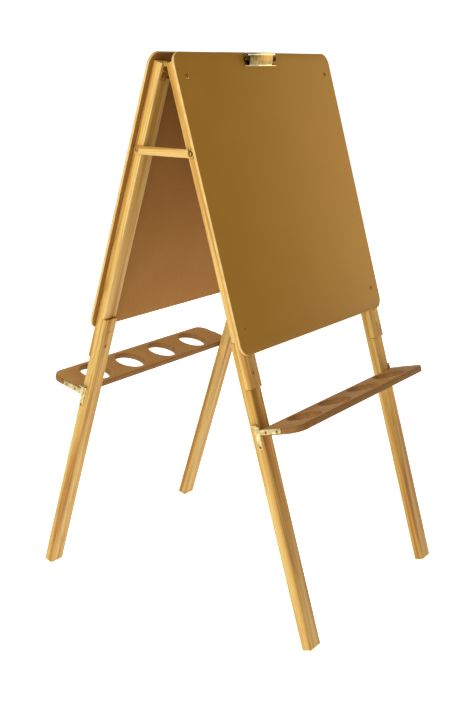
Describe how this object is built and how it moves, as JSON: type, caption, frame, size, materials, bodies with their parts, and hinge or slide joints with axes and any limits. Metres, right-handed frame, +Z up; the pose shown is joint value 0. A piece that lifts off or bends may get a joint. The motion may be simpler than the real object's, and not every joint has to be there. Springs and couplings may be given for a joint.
{
  "type": "display easel",
  "caption": "Double-sided folding easel: hinged pine frames with boards, level stays, sprung paper clips and fold-up trays with round pot holes.",
  "frame": {"origin": "on the floor at the centre of the open easel's footprint, under the hinge", "axes": "+Z up, +X along the boards to the right of someone facing the front board, -Y out of the front board"},
  "size_m": [0.6, 0.755, 1.1972],
  "materials": {
    "pine": "clear satin varnish",
    "hardboard": "smooth satin",
    "tray_board": "satin lacquer",
    "zinc_plate": "yellow zinc plate",
    "nickel_plate": "bright nickel plate"
  },
  "bodies": {
    "front_frame": {"board_front": "hardboard", "rail_front_left": "pine", "leg_front_left": "pine", "leg_bolt_front_left_upper": "zinc_plate", "leg_bolt_front_left_lower": "zinc_plate", "board_screw_front_top_left": "zinc_plate", "board_screw_front_bottom_left": "zinc_plate", "hinge_leaf_front_left": "zinc_plate", "bracket_strap_front_left": "zinc_plate", "bracket_rivet_front_left": "zinc_plate", "rail_front_right": "pine", "leg_front_right": "pine", "leg_bolt_front_right_upper": "zinc_plate", "leg_bolt_front_right_lower": "zinc_plate", "board_screw_front_top_right": "zinc_plate", "board_screw_front_bottom_right": "zinc_plate", "hinge_leaf_front_right": "zinc_plate", "bracket_strap_front_right": "zinc_plate", "bracket_rivet_front_right": "zinc_plate", "clip_base_front": "nickel_plate", "clip_pin_front": "nickel_plate", "clip_spring_front": "nickel_plate", "hinge_pin_left": "zinc_plate", "stay_stud_left": "zinc_plate", "hinge_pin_right": "zinc_plate", "stay_stud_right": "zinc_plate"},
    "rear_frame": {"board_rear": "hardboard", "rail_rear_left": "pine", "leg_rear_left": "pine", "leg_bolt_rear_left_upper": "zinc_plate", "leg_bolt_rear_left_lower": "zinc_plate", "board_screw_rear_top_left": "zinc_plate", "board_screw_rear_bottom_left": "zinc_plate", "hinge_leaf_rear_left": "zinc_plate", "bracket_strap_rear_left": "zinc_plate", "bracket_rivet_rear_left": "zinc_plate", "rail_rear_right": "pine", "leg_rear_right": "pine", "leg_bolt_rear_right_upper": "zinc_plate", "leg_bolt_rear_right_lower": "zinc_plate", "board_screw_rear_top_right": "zinc_plate", "board_screw_rear_bottom_right": "zinc_plate", "hinge_leaf_rear_right": "zinc_plate", "bracket_strap_rear_right": "zinc_plate", "bracket_rivet_rear_right": "zinc_plate", "clip_base_rear": "nickel_plate", "clip_pin_rear": "nickel_plate", "clip_spring_rear": "nickel_plate", "stay_screw_left": "zinc_plate", "stay_screw_right": "zinc_plate"},
    "front_tray": {"bracket_arm_front_left": "zinc_plate", "bracket_arm_front_right": "zinc_plate", "tray_front": "tray_board"},
    "rear_tray": {"bracket_arm_rear_left": "zinc_plate", "bracket_arm_rear_right": "zinc_plate", "tray_rear": "tray_board"},
    "stay_left": {"stay_left": "pine"},
    "stay_right": {"stay_right": "pine"},
    "front_clip_jaw": {"clip_jaw_front": "nickel_plate"},
    "rear_clip_jaw": {"clip_jaw_rear": "nickel_plate"}
  },
  "joints": [
    {"name": "fold", "type": "hinge", "parent": "front_frame", "child": "rear_frame", "pos_m": [0, 0, 1.173], "axis": [-1, 0, 0], "range_deg": [0, 33.5]},
    {"name": "stay_left_swing", "type": "hinge", "parent": "rear_frame", "child": "stay_left", "pos_m": [-0.2903, 0.06833, 1.00313], "axis": [1, 0, 0], "range_deg": [0, 106.5]},
    {"name": "stay_right_swing", "type": "hinge", "parent": "rear_frame", "child": "stay_right", "pos_m": [0.2903, 0.06833, 1.00313], "axis": [1, 0, 0], "range_deg": [0, 106.5]},
    {"name": "front_tray_fold", "type": "hinge", "parent": "front_frame", "child": "front_tray", "pos_m": [0, -0.23566, 0.46754], "axis": [-1, 0, 0], "range_deg": [0, 87]},
    {"name": "rear_tray_fold", "type": "hinge", "parent": "rear_frame", "child": "rear_tray", "pos_m": [0, 0.23566, 0.46754], "axis": [1, 0, 0], "range_deg": [0, 87]},
    {"name": "front_clip_open", "type": "hinge", "parent": "front_frame", "child": "front_clip_jaw", "pos_m": [0, -0.03775, 1.18395], "axis": [-1, 0, 0], "range_deg": [0, 20], "stiffness_Nm_per_rad": 0.35, "springref_deg": -20.05},
    {"name": "rear_clip_open", "type": "hinge", "parent": "rear_frame", "child": "rear_clip_jaw", "pos_m": [0, 0.03775, 1.18395], "axis": [1, 0, 0], "range_deg": [0, 20], "stiffness_Nm_per_rad": 0.35, "springref_deg": -20.05}
  ],
  "couplings": [
    {"joint": "stay_left_swing", "follows": "fold", "ratio": 3.179},
    {"joint": "stay_right_swing", "follows": "fold", "ratio": 3.179}
  ]
}
